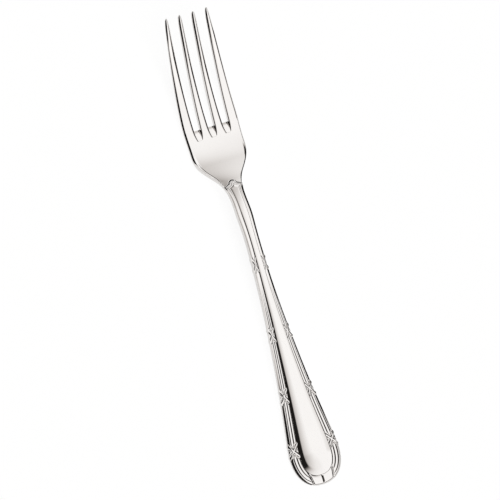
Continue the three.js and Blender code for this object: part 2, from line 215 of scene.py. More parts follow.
def spline(stations):
    """Smooth curve through stations, with no bend at its two ends."""
    places, values = np.array(sorted(stations)).T
    gaps = np.diff(places)
    slopes = np.diff(values) / gaps
    count = len(places)
    system = np.eye(count)
    bends = np.zeros(count)
    for i in range(1, count - 1):
        system[i, i - 1:i + 2] = gaps[i - 1], 2.0 * (gaps[i - 1] + gaps[i]), gaps[i]
        bends[i] = 6.0 * (slopes[i] - slopes[i - 1])
    bends = np.linalg.solve(system, bends)

    def curve(along):
        along = np.clip(along, places[0], places[-1])
        i = np.clip(np.searchsorted(places, along) - 1, 0, count - 2)
        rest, gone = places[i + 1] - along, along - places[i]
        straight = (values[i] * rest + values[i + 1] * gone) / gaps[i]
        left = bends[i] * rest * (rest * rest - gaps[i] ** 2)
        right = bends[i + 1] * gone * (gone * gone - gaps[i] ** 2)
        return straight + (left + right) / (6.0 * gaps[i])

    return curve


# Shares of a stretch, each with its share of the change in width or height along it
TINE_FLARE = [(0, 0), (0.25, 0.3), (0.54, 0.61), (0.82, 0.89)]
SHOULDER = [(0, 1), (0.55, 0.985), (0.89, 0.96)]
NECK_SWEEP = [(0.09, 0.215), (0.32, 0.57), (0.545, 0.875), (0.77, 1)]
STEM_TAPER = [(0.33, 0.2), (0.67, 0.68)]
HANDLE_SPREAD = [(0, 0), (0.127, 0.018), (0.282, 0.095), (0.427, 0.218), (0.573, 0.378), (0.718, 0.565),
                 (0.855, 0.788), (0.936, 0.925), (1, 1), (1.06, 1)]
TIP_CURVE = [(0, 1), (0.24, 0.62), (0.47, 0.323), (0.71, 0.106), (0.88, 0.022), (1, 0)]
NECK_CURVE = [(0.16, 0.065), (0.315, 0.255), (0.475, 0.5), (0.63, 0.74), (0.79, 0.925), (1, 1)]
HANDLE_FALL = [(0.1, 0.06), (0.26, 0.255), (0.452, 0.466), (0.613, 0.655), (0.774, 0.835), (0.894, 0.94),
               (0.98, 1), (1.1, 1)]
TINE_TAPER = [(0, 0), (0.22, 0.03), (0.41, 0.12), (0.59, 0.29), (0.77, 0.52), (0.93, 0.82), (1, 1)]

# Places along the fork, counted from the tine tips
REST_AT = HEAD_AT + 0.0099
MID_HEAD = mix(HEAD_AT, NECK_AT, 0.5)
BEVEL_FROM = mix(HEAD_AT, NECK_AT, 0.6)
BEVEL_FULL = NECK_AT + 0.003
CREST_AT = STEM_AT + 0.008
NARROWEST_AT = STEM_AT + 0.018

# Thickness between its named places, as shares of the change from one to the next
TINE_SWELL_AT = 0.4 * HEAD_AT
TINE_SWELL = 0.85
NECK_SWELL = 0.25
HANDLE_THINNING = 0.5

# Squareness of rounded outlines and sections, 2 for an ellipse
END_SQUARENESS = 2.28
REED_SQUARENESS = 2.2
BAND_SQUARENESS = 4.0

# Edges of the head, the neck and the tines
EDGE_SPREAD = 2.2
EDGE_POWER = 1.6
LIP_SLOPE = 0.36
FOLD_SLOPE = 0.75
BEVEL_ON_STEM = 0.5
BEVEL_NARROWING = 0.003

# Sloping ends of the slots
RAMP_POWER = 1.08
SLOT_END_REACH = 1.22
SLOT_END_LIMIT = 0.86
PITCH_REACH = 1.2

# Fall of the border to its edge, on the stem and where the handle is widest
FALL_ENDS = (0.45, 0.22)
FALL_POWERS = (1.2, 1.4)

# Grooves between the reeds, which open as the border widens from the stem
GROOVE_SHARE = 0.24
GROOVE_SLOPE = 0.47
GROOVE_POWER = 1.2
GROOVES_OPEN = (1.05, 1.32)

# Crossed ribbons, and the moat beside them in half widths of a ribbon
TIE_REACH = 1.35
RIBBON_CROWN = 0.45
MOAT_AT = 1.45
MOAT_WIDTH = 0.5
MOAT_DEPTH = 0.7

# Hollow panel and its rim
PANEL_SAMPLES = 401
COVE_SHARE = 0.29
COVE_STEEPENING = 0.2
COVE_LEAD = 0.04
COVE_RUN = 0.05
PANEL_AT_ARCH = 0.1
END_PANEL_LEAD = 0.001
END_PANEL_STOP = 1.2
END_PANEL_DEPTH = 0.6
RIM_START = 0.97
RIM_POWER = 0.75
RIM_ON_STEM = 0.00016

# Width of the arch's foot over the neck
ARCH_FOOT = 0.0009


class ForkShape:
    """The fork's curves, in metres, built from the sizes in the sidebar."""

    def __init__(self, scene):
        self.size = size = scene.fork_outline
        self.tines = tines = scene.fork_tines
        self.relief = relief = scene.fork_relief
        self.widest_at = LENGTH - size.end_round
        half_head, half_neck = size.head_width / 2, size.neck_width / 2
        half_stem, half_handle = size.stem_width / 2, size.handle_width / 2
        self.body = spline(
            sweep(0, HEAD_AT, size.tip_spread / 2, half_head, TINE_FLARE)
            + sweep(HEAD_AT, NECK_AT, 0, half_head, SHOULDER)
            + sweep(NECK_AT, STEM_AT, half_head, half_neck, NECK_SWEEP)
            + sweep(STEM_AT, NARROWEST_AT, half_neck, half_stem, STEM_TAPER)
            + sweep(NARROWEST_AT, self.widest_at, half_stem, half_handle, HANDLE_SPREAD))
        fall_end = self.widest_at + size.end_round / 4
        self.back_line = spline(
            sweep(0, REST_AT, -size.rest_depth, size.tip_rise, TIP_CURVE)
            + sweep(REST_AT, CREST_AT, -size.rest_depth, size.stem_rise, NECK_CURVE)
            + sweep(CREST_AT, fall_end, size.stem_rise, -size.rest_depth, HANDLE_FALL))
        self.thickness = spline([
            (0, size.tip_thickness),
            (TINE_SWELL_AT, mix(size.tip_thickness, size.head_thickness, TINE_SWELL)),
            (HEAD_AT, size.head_thickness),
            (NECK_AT, mix(size.head_thickness, size.stem_thickness, NECK_SWELL)),
            (CREST_AT, size.stem_thickness),
            (HANDLE_AT, mix(size.stem_thickness, size.end_thickness, HANDLE_THINNING)),
            (END_AT, size.end_thickness),
            (LENGTH, size.end_thickness)])
        self.slot_width = spline(sweep(0, HEAD_AT, tines.slot_at_tips, tines.slot_at_roots, TINE_TAPER))
        self.arch_at = NECK_AT + relief.arch_setback
        self.sides_at = self.arch_at + relief.arch_length
        self.panel_shares = shares = np.linspace(0.0, 1.0, PANEL_SAMPLES)
        flat = 1.0 - COVE_SHARE
        dished = math.tan(relief.panel_slope) * np.minimum(shares / flat, 1.0)
        outward = np.clip((shares - flat) / COVE_SHARE, 0.0, 1.0)
        steepened = math.tan(relief.cove_slope) * (1.0 + COVE_STEEPENING * outward)
        coved = mix(dished, steepened, ease(shares, flat - COVE_LEAD, flat + COVE_RUN))
        self.panel_falls = [np.cumsum(slopes) * (shares[1] - shares[0]) for slopes in (coved, dished)]
        spacings = (relief.first_tie, relief.second_tie, relief.third_tie, relief.fourth_tie)
        self.ties = STEM_AT + np.cumsum(spacings)

    def half_width(self, along):
        share = np.clip((along - self.widest_at) / self.size.end_round, 0.0, 1.0)
        rounding = (1.0 - share ** END_SQUARENESS) ** (1.0 / END_SQUARENESS)
        return np.where(share > 0, self.size.handle_width / 2 * rounding, self.body(along))

    def cross_curve(self, along, x):
        fade = 1.0 - ease(along, NECK_AT, STEM_AT)
        return fade * (x / (self.size.head_width / 2)) ** 2

    def back(self, along, x):
        return np.maximum(0.0, self.back_line(along) + self.size.back_curve * self.cross_curve(along, x))

    def crest(self, along):
        return self.back_line(along) + self.thickness(along)

    def front(self, along, x):
        hollow = self.size.neck_hollow * ease(along, MID_HEAD, NECK_AT)
        return self.crest(along) + hollow * (x / self.half_width(along)) ** 2

    def edge_drop(self, along, inset):
        """Drop of the head's and the neck's front at a distance in from the edge."""
        size = self.size
        short = np.clip(1.0 - inset / size.edge_round, 0.0, 1.0)
        rounded = size.edge_round * (1.0 - (1.0 - short ** (2.0 / EDGE_POWER)) ** (EDGE_POWER / 2.0))
        scale = mix(1.0, BEVEL_ON_STEM, ease(along, self.arch_at - BEVEL_NARROWING, self.sides_at))
        steep, lip, fold = scale * size.neck_bevel, scale * size.neck_lip, scale * size.neck_fold
        bevelled = scale * size.neck_bevel_drop * np.clip(1.0 - inset / steep, 0.0, 1.0)
        bevelled = bevelled + LIP_SLOPE * np.clip(steep + lip - inset, 0.0, lip)
        bevelled = bevelled + FOLD_SLOPE * np.clip(steep + lip + fold - inset, 0.0, fold)
        return mix(rounded, bevelled, ease(along, BEVEL_FROM, BEVEL_FULL))

    def back_round(self, along):
        """Rounding of the back's edges, fullest at the neck."""
        full = ease(along, MID_HEAD, NECK_AT) * (1.0 - ease(along, STEM_AT, HANDLE_AT))
        return float(mix(self.size.back_round, self.size.neck_back_round, full))

    def slot_pitch(self, along):
        share = np.clip(along / HEAD_AT, 0.0, PITCH_REACH)
        return mix(self.tines.pitch_at_tips, self.tines.pitch_at_roots, share)

    def slot_half(self, along):
        """Half the width of a slot, with the rounding of its end in the head."""
        run = np.clip((along - HEAD_AT) / (SLOT_END_REACH * self.tines.slot_ramp), 0.0, SLOT_END_LIMIT)
        return self.slot_width(along) / 2 * np.sqrt(1.0 - run ** 2)

    def slot_depth(self, along):
        """Depth of the sloping slot end below the head's front."""
        gone = np.clip((along - HEAD_AT) / self.tines.slot_ramp, 0.0, 1.0)
        return (self.thickness(along) - self.tines.slot_lip) * (1.0 - gone ** RAMP_POWER)

    def border(self, along):
        """Width of the reeded border."""
        size, relief = self.size, self.relief
        growth = math.log(relief.border_width / relief.border_on_stem)
        growth /= math.log(size.handle_width / size.stem_width)
        within = np.clip(along, self.sides_at, self.widest_at)
        return relief.border_on_stem * (2.0 * self.half_width(within) / size.stem_width) ** growth

    def border_slump(self, share, border):
        """Fall of the border's outer part towards the edge."""
        relief = self.relief
        spread = (border - relief.border_on_stem) / (relief.border_width - relief.border_on_stem)
        spread = min(max(spread, 0.0), 1.0) ** 2
        fall = mix(relief.border_fall_on_stem, relief.border_fall, spread)
        return fall * np.maximum(0.0, 1.0 - share / mix(*FALL_ENDS, spread)) ** mix(*FALL_POWERS, spread)

    def border_level(self, inset, run, border, arch=0.0, foot=0.0, reach=ARCH_FOOT):
        """Height of the border below its crown, at a distance in from the edge and a run past each tie."""
        relief = self.relief
        scale = border / relief.border_width
        share = np.clip(inset / border, 0.0, 1.0)
        slump = mix(self.border_slump(share, border), foot * np.maximum(0.0, 1.0 - inset / reach), arch)
        rise = -self.panel_rim(border)
        across = np.abs(2.0 * np.mod(share * relief.reeds, 1.0) - 1.0)
        across = np.where(share < 0.5 / relief.reeds, 0.0, across)
        bump = (1.0 - across ** REED_SQUARENESS) ** (1.0 / REED_SQUARENESS)
        opened = ease(border / relief.border_on_stem, *GROOVES_OPEN)
        groove = np.maximum(0.0, 1.0 - (1.0 - across) / (2.0 * GROOVE_SHARE)) ** GROOVE_POWER
        groove = groove * opened * min(rise, GROOVE_SLOPE * GROOVE_SHARE * border / relief.reeds)
        level = -slump - np.where(share < 1.0 - 0.5 / relief.reeds, groove, rise * (1.0 - bump))
        slant = (share - 0.5) * 2.0 * relief.tie_half_span
        half = relief.ribbon_width / 2
        for tie in run:
            off = np.minimum(np.abs(slant - tie), np.abs(slant + tie)) / math.sqrt(2.0)
            near = np.abs(tie) < relief.tie_half_span * TIE_REACH
            rounding = RIBBON_CROWN * rise * np.clip(off / half, 0.0, 1.0) ** 2
            ribbon = relief.ribbon_lift * scale ** 0.5 - slump - rounding
            moat = np.exp(-((off - MOAT_AT * half) / (MOAT_WIDTH * half)) ** 2)
            sunk = level - np.where(near, MOAT_DEPTH * rise * moat, 0.0)
            level = np.where(near & (off < half), np.maximum(ribbon, level), sunk)
        return level

    def panel_level(self, share, width, along):
        """Height of the hollow panel below its rim, at a share of its half width from the middle."""
        depth = mix(PANEL_AT_ARCH, 1.0, ease(along, self.arch_at, HANDLE_AT))
        shallow_at = LENGTH - END_PANEL_STOP * self.relief.border_width
        shallow = ease(along, self.widest_at - END_PANEL_LEAD, shallow_at)
        coved, dished = [np.interp(share, self.panel_shares, fall) - fall[-1] for fall in self.panel_falls]
        return width * depth * mix(coved, END_PANEL_DEPTH * dished, shallow)

    def panel_rim(self, border):
        """Height of the panel's rim below the border's crown."""
        smooth = RIM_START * self.relief.border_on_stem
        share = (border - smooth) / (self.relief.border_width - smooth)
        return -max(self.relief.reed_height * max(share, 0.0) ** RIM_POWER, RIM_ON_STEM)


# Spacing of the rows and columns of the mesh

ROWS_ON_TINES = 0.0006
ROWS_ON_SLOTS = 0.00014
ROWS_ON_PLATE = 0.0004
ROWS_ON_ARCH = 0.00009
ROWS_ON_HANDLE = 0.0007
ROWS_ON_TIES = 0.00014
ROWS_ROUND_END = 150
ROW_GROWTH = 0.5
HAIR = 1e-9


def steps(count):
    return np.linspace(0.0, 1.0, count)


# Quarter turns round the front's and the back's edges, and steps that crowd into the grooves
TURN = np.linspace(0.0, math.pi / 2, 10)
FRONT_TURN = [(1 - math.sin(a) ** EDGE_POWER, 1 - math.cos(a) ** EDGE_POWER) for a in TURN]
BACK_TURN = [(1 - math.cos(a), 1 - math.sin(a)) for a in TURN]
BOW = 0.5 - 0.5 * np.cos(np.linspace(0.0, math.pi, 15))


def spaced(low, high, gap):
    return np.linspace(low, high, max(2, round((high - low) / gap) + 1))


def points(x, along, z):
    return np.stack([x, np.full_like(x, TIP_Y - along), z], axis=1)


def finer(low, high, gap, places, reach, fine):
    """Rows from low to high that stand closer together round some places."""
    rows = [low]
    while rows[-1] < high - HAIR:
        near = min(abs(rows[-1] - place) for place in places)
        rows.append(rows[-1] + min(gap, fine + ROW_GROWTH * max(0.0, near - reach)))
    rows = np.array(rows)
    return low + (rows - low) * (high - low) / (rows[-1] - low)


# Modelling steps that every piece shares

WELD = 1e-6
CREASE = math.radians(38)


def lay_grid(name, rows):
    """A grid primitive whose quads are laid through rows of points."""
    count, width = rows.shape[:2]
    bpy.ops.object.select_all(action="DESELECT")
    bpy.ops.mesh.primitive_grid_add(x_subdivisions=width - 1, y_subdivisions=count - 1, size=LENGTH)
    piece = bpy.context.object
    piece.name = piece.data.name = name
    piece.data.vertices.foreach_set("co", np.ascontiguousarray(rows, dtype=np.float32).ravel())
    piece.data.update()
    return piece


def close_skin(piece):
    """Merges the seams and poles, fills the open ends and turns the faces outwards."""
    bpy.ops.object.mode_set(mode="EDIT")
    bpy.ops.mesh.select_all(action="SELECT")
    bpy.ops.mesh.remove_doubles(threshold=WELD)
    bpy.ops.mesh.select_mode(type="EDGE")
    bpy.ops.mesh.select_all(action="DESELECT")
    bpy.ops.mesh.select_non_manifold(extend=False, use_wire=False, use_multi_face=False,
                                     use_non_contiguous=False, use_verts=False)
    bpy.ops.mesh.fill_holes(sides=0)
    bpy.ops.mesh.select_all(action="SELECT")
    bpy.ops.mesh.normals_make_consistent(inside=False)
    bpy.ops.mesh.select_mode(type="VERT")
    bpy.ops.object.mode_set(mode="OBJECT")
    bpy.ops.object.shade_smooth_by_angle(angle=CREASE)


def finish_piece(piece, node):
    """Gives a piece its steel and sets it in place of its region of the fork."""
    piece.data.materials.clear()
    piece.data.materials.append(polished_steel())
    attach(piece, "root")
    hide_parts(node)


def mirrored_piece(name, rows, node):
    """A finished piece from rows through its right half and their mirror image."""
    piece = lay_grid(name, rows)
    bpy.ops.object.modifier_add(type="MIRROR")
    mirror = piece.modifiers[-1]
    mirror.merge_threshold = WELD
    bpy.ops.object.modifier_apply(modifier=mirror.name)
    close_skin(piece)
    finish_piece(piece, node)


def add_node(tree, kind, inputs, **settings):
    """A shader node with its settings, and each input set to a value or linked to another node."""
    node = tree.nodes.new(kind)
    for name, value in settings.items():
        setattr(node, name, value)
    for name, value in inputs.items():
        if isinstance(value, bpy.types.NodeSocket):
            tree.links.new(value, node.inputs[name])
        else:
            node.inputs[name].default_value = value
    return node


# Polishing lines, far closer across the fork than along it, and clouds that vary the gloss and tone
LINE_STRETCH = (2600.0, 90.0, 2600.0)
LINE_DEPTH = 0.00002
LINE_STRENGTH = 0.03
CLOUD_SCALE = 70.0
CLOUD_SPAN = (0.3, 0.7)
CLOUD_GLOSS = (0.75, 1.35)
CLOUD_TONES = ((0.35, 0.985), (0.65, 1.0))


def polished_steel():
    """Mirror-polished steel with faint lengthwise polishing lines and soft clouding."""
    name = "polished_steel_finish"
    if name in bpy.data.materials:
        return bpy.data.materials[name]
    steel = bpy.context.scene.fork_steel
    material = bpy.data.materials.new(name)
    material.use_nodes = True
    tree = material.node_tree
    node = partial(add_node, tree)
    place = node("ShaderNodeTexCoord", {}).outputs["Object"]
    stretch = node("ShaderNodeMapping", {"Vector": place, "Scale": LINE_STRETCH})
    lines = node("ShaderNodeTexNoise", {"Vector": stretch.outputs["Vector"], "Scale": 1.0, "Detail": 3.0})
    clouds = node("ShaderNodeTexNoise", {"Vector": place, "Scale": CLOUD_SCALE, "Detail": 4.0})
    thin, thick = CLOUD_SPAN
    least, most = (share * steel.roughness for share in CLOUD_GLOSS)
    gloss = node("ShaderNodeMapRange", {
        "Value": clouds.outputs["Fac"], "From Min": thin, "From Max": thick, "To Min": least,
        "To Max": most})
    tone = node("ShaderNodeValToRGB", {"Fac": clouds.outputs["Fac"]})
    for element, (position, shade) in zip(tone.color_ramp.elements, CLOUD_TONES):
        element.position = position
        element.color = (*[shade * part for part in steel.colour], 1.0)
    bump = node("ShaderNodeBump", {
        "Strength": LINE_STRENGTH, "Distance": LINE_DEPTH, "Height": lines.outputs["Fac"]})
    shader = tree.nodes["Principled BSDF"]
    shader.inputs["Metallic"].default_value = 1.0
    tree.links.new(gloss.outputs["Result"], shader.inputs["Roughness"])
    tree.links.new(tone.outputs["Color"], shader.inputs["Base Color"])
    tree.links.new(bump.outputs["Normal"], shader.inputs["Normal"])
    return material


# Tines

# Rounding of the tines' edges, fuller near the tips
TIP_ROUNDING = 1.9
TIP_ROUNDING_END = 0.85
OUTER_AT_TIP = 0.36
OUTER_GROWTH = 2.2
OUTER_TIP_RANGE = (0.05, 0.45)
OUTER_SPREAD = 0.9
BACK_AT_TIP = 0.5

# Greatest shares of a tine's thickness, half width and wall that its rounded edges take
INNER_LIMIT = 0.5
OUTER_LIMIT = 0.6
FRONT_LIMIT = 0.8
BACK_LIMIT = 0.92
WALL_LIMIT = 0.9


def tine_rows(shape, outer):
    """Closed rings of one right-hand tine, from its tip to the head."""
    size, tines = shape.size, shape.tines
    cap = tines.tip_cap
    places = np.concatenate([cap * (1.0 - np.cos(TURN)), spaced(cap, HEAD_AT, ROWS_ON_TINES)[1:]])
    rows = []
    for along in places:
        pitch, slot = shape.slot_pitch(along), shape.slot_half(along)
        near, far = (pitch + slot, shape.half_width(along)) if outer else (slot, pitch - slot)
        middle = (near + far) / 2
        taper = min(along / tines.tip_taper, 1.0)
        half = mix(tines.tip_width / 2, (far - near) / 2, math.sqrt(1.0 - (1.0 - taper) ** 2))
        thick = shape.thickness(along)
        fullness = along / HEAD_AT
        inner = tines.slot_round * mix(TIP_ROUNDING, 1.0, ease(fullness, 0.0, TIP_ROUNDING_END))
        inner = min(inner, INNER_LIMIT * thick)
        outside = size.edge_round * mix(OUTER_AT_TIP, 1.0, fullness ** OUTER_GROWTH)
        outside = max(outside, inner * (1.0 - ease(fullness, *OUTER_TIP_RANGE)))
        edge = min(outside, OUTER_LIMIT * thick) if outer else inner
        inner_spread = min(EDGE_SPREAD * inner, FRONT_LIMIT * half)
        edge_spread = OUTER_SPREAD * size.edge_round if outer else EDGE_SPREAD * edge
        edge_spread = min(edge_spread, FRONT_LIMIT * half)
        low = size.back_round * mix(BACK_AT_TIP, 1.0, fullness)
        low = min(low, BACK_LIMIT * half, WALL_LIMIT * (thick - max(inner, edge)))
        right = [(half - edge_spread * short, -edge * drop, 1) for short, drop in FRONT_TURN]
        right_low = [(half - low * aside, low * up, 0) for aside, up in BACK_TURN]
        left_low = [(-half + low * up, low * aside, 0) for aside, up in BACK_TURN]
        left = [(-half + inner_spread * drop, -inner * short, 1) for short, drop in FRONT_TURN]
        front = [(mix(inner_spread - half, half - edge_spread, share), 0.0, 1) for share in steps(8)]
        back = [(mix(half - low, low - half, share), 0.0, 0) for share in steps(8)]
        ring = front[:-1] + right + right_low + back[1:-1] + left_low + left
        x, lift, top = np.array(ring).T
        x = x + middle
        z = np.where(top > 0, shape.front(along, x), shape.back(along, x)) + lift
        dome = math.sqrt(max(0.0, 1.0 - (1.0 - min(along / cap, 1.0)) ** 2))
        level = shape.back(along, middle) + thick / 2
        rows.append(points(middle + (x - middle) * dome, along, level + (z - level) * dome))
    return np.array(rows)


class FORK_OT_tines(bpy.types.Operator):
    """Model the four tines"""

    bl_idname = "fork.tines"
    bl_label = "Make the tines"

    def execute(self, context):
        shape = ForkShape(context.scene)
        for outer, name in ((True, "outer"), (False, "inner")):
            piece = lay_grid(f"tine_{name}_right", tine_rows(shape, outer))
            close_skin(piece)
            bpy.ops.object.duplicate()
            copy = context.object
            copy.name = copy.data.name = f"tine_{name}_left"
            bpy.ops.object.mode_set(mode="EDIT")
            bpy.ops.mesh.select_all(action="SELECT")
            bpy.ops.transform.resize(value=(-1, 1, 1), center_override=(0, 0, 0))
            bpy.ops.mesh.normals_make_consistent(inside=False)
            bpy.ops.object.mode_set(mode="OBJECT")
            finish_piece(piece, f"{name}_right_tine")
            finish_piece(copy, f"{name}_left_tine")
        return {"FINISHED"}


# Head

# Ends of the slots: fine rows past them, slant of their walls, rounding left at their tops, and fillet
SLOT_END_PAST = 0.0008
SLOT_DRAFT = 0.00015
SLOT_TOP_ROUNDING = 0.4
SLOT_FILLET = 0.00025
FILLET_LIMIT = 0.8


def soft_min(first, second, blend):
    share = np.clip(0.5 + 0.5 * (second - first) / blend, 0.0, 1.0)
    return mix(second, first, share) - blend * share * (1.0 - share)


def head_rows(shape):
    """Right halves of the head's sections, from the middle of the front to the middle of the back."""
    size, tines = shape.size, shape.tines
    fine_end = HEAD_AT + tines.slot_ramp + SLOT_END_PAST
    places = np.concatenate([spaced(HEAD_AT, fine_end, ROWS_ON_SLOTS),
                             spaced(fine_end, NECK_AT, ROWS_ON_PLATE)[1:]])
    spread = size.neck_bevel + size.neck_lip + size.neck_fold
    rows = []
    for along in places:
        pitch, slot = shape.slot_pitch(along), shape.slot_half(along)
        wide, thick = shape.half_width(along), shape.thickness(along)
        depth = shape.slot_depth(along)
        gone = float(np.clip((along - HEAD_AT) / tines.slot_ramp, 0.0, 1.0))
        inner = tines.slot_round * mix(1.0, SLOT_TOP_ROUNDING, gone)
        edge = EDGE_SPREAD * inner
        rim = [(edge * short, inner * fall) for short, fall in FRONT_TURN]
        rim += [(-SLOT_DRAFT * share, mix(inner, thick, share)) for share in steps(9)[1:]]

        def slot_side(centre, sign):
            """Columns from the tine's flat front down to the middle of a slot."""
            foot = slot - SLOT_DRAFT
            wall = [(centre + sign * (slot + off), fall) for off, fall in rim]
            return wall + [(centre + sign * foot * (1 - share), thick) for share in steps(9)[1:]]

        columns = slot_side(0.0, 1)[::-1]
        columns += [(x, 0.0) for x in np.linspace(slot + edge, pitch - slot - edge, 9)[1:-1]]
        columns += slot_side(pitch, -1) + slot_side(pitch, 1)[::-1][1:]
        columns += [(x, 0.0) for x in np.linspace(pitch + slot + edge, wide - spread, 11)[1:-1]]
        x, drop = np.array(columns).T
        blend = min(SLOT_FILLET, FILLET_LIMIT * depth) + HAIR
        top = shape.front(along, x) - soft_min(drop, depth, blend)
        inset = spread * steps(22)[::-1]
        turn_x = wide - inset
        turn_z = shape.front(along, turn_x) - shape.edge_drop(along, inset)
        low = min(shape.back_round(along), WALL_LIMIT * (turn_z[-1] - shape.back(along, wide)))
        low_x = wide - low * (1 - np.cos(TURN))
        low_z = shape.back(along, low_x) + low * (1 - np.sin(TURN))
        back_x = np.linspace(wide - low, 0.0, 26)[1:]
        x = np.concatenate([x, turn_x, low_x, back_x])
        z = np.concatenate([top, turn_z, low_z, shape.back(along, back_x)])
        rows.append(points(x, along, z))
    return np.array(rows)


class FORK_OT_head(bpy.types.Operator):
    """Model the head with the sloping ends of the slots"""

    bl_idname = "fork.head"
    bl_label = "Make the head"

    def execute(self, context):
        mirrored_piece("fork_head", head_rows(ForkShape(context.scene)), "head")
        return {"FINISHED"}


# Neck, stem and handle

PANEL_COLUMNS = np.sin(np.linspace(0.0, math.pi / 2, 31))[:-1]

# Ribbons that stand out at the handle's edge, in half spans of a tie
BULGE_AT = 0.9
BULGE_WIDTH = 0.25
BULGE_POWER = 4
TIE_ROWS_REACH = 1.4

# Plain bands: where they start round the end, how they widen, and where the reeds stop, in groove widths
BANDS_FROM = 0.5
BAND_SINK = 0.1
BAND_SPREAD = (0.87, 1.03)
REEDS_STOP = (0.6, 1.3)

# Grooves beside the bands, in groove widths, and the share of the border where they run out
CUT_DEPTH = 0.28
CUT_HALF = 0.58
CUT_OUTWARD = 1.3
CUT_END = 0.85


def border_shares(reeds):
    """Shares of the border's width from the panel to the edge, closest together in the grooves."""
    shares = [(reeds - 1 - reed) / reeds + (1.0 - BOW) / reeds for reed in range(reeds)]
    return np.concatenate([part[:-1] for part in shares] + [[0.0]])


def lower_row(shape, along, wide, edge_z, edge_y, inward, middle_y):
    """Wall, back edge and back of half a section, from the foot of the border to the middle of the back."""
    back = shape.back(along, wide)
    low = min(shape.back_round(along), WALL_LIMIT * (edge_z - back))
    wall = [(0.0, mix(edge_z, back + low, share)) for share in steps(6)[1:]]
    turn = [(low * aside, back + low * up) for aside, up in BACK_TURN[1:]]
    inset, z = np.array(wall + turn).T
    side = np.stack([wide - inset * inward[0], edge_y - inset * inward[1], z], axis=1)
    flat = steps(13)[1:, None]
    last, centre = side[-1], np.array([0.0, middle_y, shape.back(along, 0.0)])
    rest = last + (centre - last) * flat
    rest[:, 2] = shape.back(along, rest[:, 0])
    return np.concatenate([side, rest])


def bulge(shape, run):
    """How far the ribbons stand out at the handle's edge."""
    half, lift = shape.relief.tie_half_span, shape.relief.ribbon_lift
    away = (np.abs(run) - BULGE_AT * half) / (BULGE_WIDTH * half)
    return float(np.sum(lift * np.exp(-away ** 2)))


def section(shape, along, x, z):
    """Right half of a section: its front through points, then the wall and the back below the last one."""
    y = TIP_Y - along
    return np.concatenate([points(x, along, z), lower_row(shape, along, x[-1], z[-1], y, (1.0, 0.0), y)])


def straight_row(shape, along):
    """Right half of a section of the stem or handle."""
    wide, border = float(shape.half_width(along)), float(shape.border(along))
    crest = float(shape.crest(along))
    width = wide - border
    shares = border_shares(shape.relief.reeds)
    panel_z = crest + shape.panel_rim(border) + shape.panel_level(PANEL_COLUMNS, width, along)
    run = along - shape.ties
    border_z = crest + shape.border_level(shares * border, run, border)
    out = bulge(shape, run)
    border_x = wide - shares * border + out * (1.0 - shares) ** BULGE_POWER
    x = np.concatenate([PANEL_COLUMNS * width, border_x])
    return section(shape, along, x, np.concatenate([panel_z, border_z]))


def round_rows(shape, count):
    """Right halves of rows that fan round the handle's end."""
    size, relief = shape.size, shape.relief
    half, reach, power = size.handle_width / 2, size.end_round, END_SQUARENESS
    angles = np.linspace(0.0, math.pi / 2, count)
    edge_x = half * np.cos(angles).clip(0) ** (2 / power)
    edge_a = reach * np.sin(angles) ** (2 / power)
    edge_x[-1] = 0.0
    border = float(shape.border(shape.widest_at))
    groove, start = relief.band_groove, shape.widest_at
    shares = border_shares(relief.reeds)
    rows = []
    for x0, a0 in zip(edge_x, edge_a):
        normal = np.array([x0 ** (power - 1) / half ** power, a0 ** (power - 1) / reach ** power])
        normal /= np.linalg.norm(normal)
        inset = shares * border
        bx, ba = x0 - inset * normal[0], a0 - inset * normal[1]
        crest = shape.crest(start + ba)
        level = shape.border_level(inset, [], border)
        if a0 > BANDS_FROM * reach:
            across = np.abs(2.0 * shares - 1.0)
            crown = (1.0 - across ** BAND_SQUARENESS) ** (1.0 / BAND_SQUARENESS)
            band = -shape.border_slump(shares, border) - relief.reed_height * (1.0 - crown + BAND_SINK)
            side = relief.band_width * mix(*BAND_SPREAD, shares)
            outside = (bx - side) / groove
            beside = np.where(outside > 0, outside / CUT_OUTWARD, -outside)
            away = np.minimum(bx / groove, beside)
            cut = CUT_DEPTH * groove * np.maximum(0.0, 1.0 - away / CUT_HALF)
            level = mix(band, level, ease(outside, *REEDS_STOP)) - cut * ease(shares, 1.0, CUT_END)
        border_z = crest + level
        panel_x, panel_a = PANEL_COLUMNS * bx[0], PANEL_COLUMNS * ba[0]
        panel_z = shape.crest(start + panel_a) + shape.panel_rim(border)
        panel_z = panel_z + shape.panel_level(PANEL_COLUMNS, half - border, start + panel_a)
        x, away, z = np.concatenate([(panel_x, panel_a, panel_z), (bx, ba, border_z)], axis=1)
        below = lower_row(shape, start + a0, x0, z[-1], TIP_Y - start - a0, (normal[0], -normal[1]),
                          TIP_Y - start)
        rows.append(np.concatenate([points(x, start + away, z), below]))
    return np.array(rows)


# Outline of the arch: its turn, its shoulders, and its sides some way down the stem
ARCH_TURN = np.linspace(0.0, math.radians(80), 160)
SHOULDER_POINTS = 80
SIDE_POINTS = 400
ARCH_SIDES_PAST = 0.006
SHOULDER_FACING = 0.4
SIDEWAYS_RANGE = (0.5, 0.9)

# Slope of the arch's foot at its sides, its greatest height in steps, and where it fades into the border
ARCH_SIDE_SLOPE = 1.1
FOOT_LIMIT = 2.0
ARCH_FADE_FROM = 0.7
ARCH_FADE_PAST = 0.0022
ARCH_ROWS_BEFORE = 0.0006
ON_OUTLINE = -1e-7


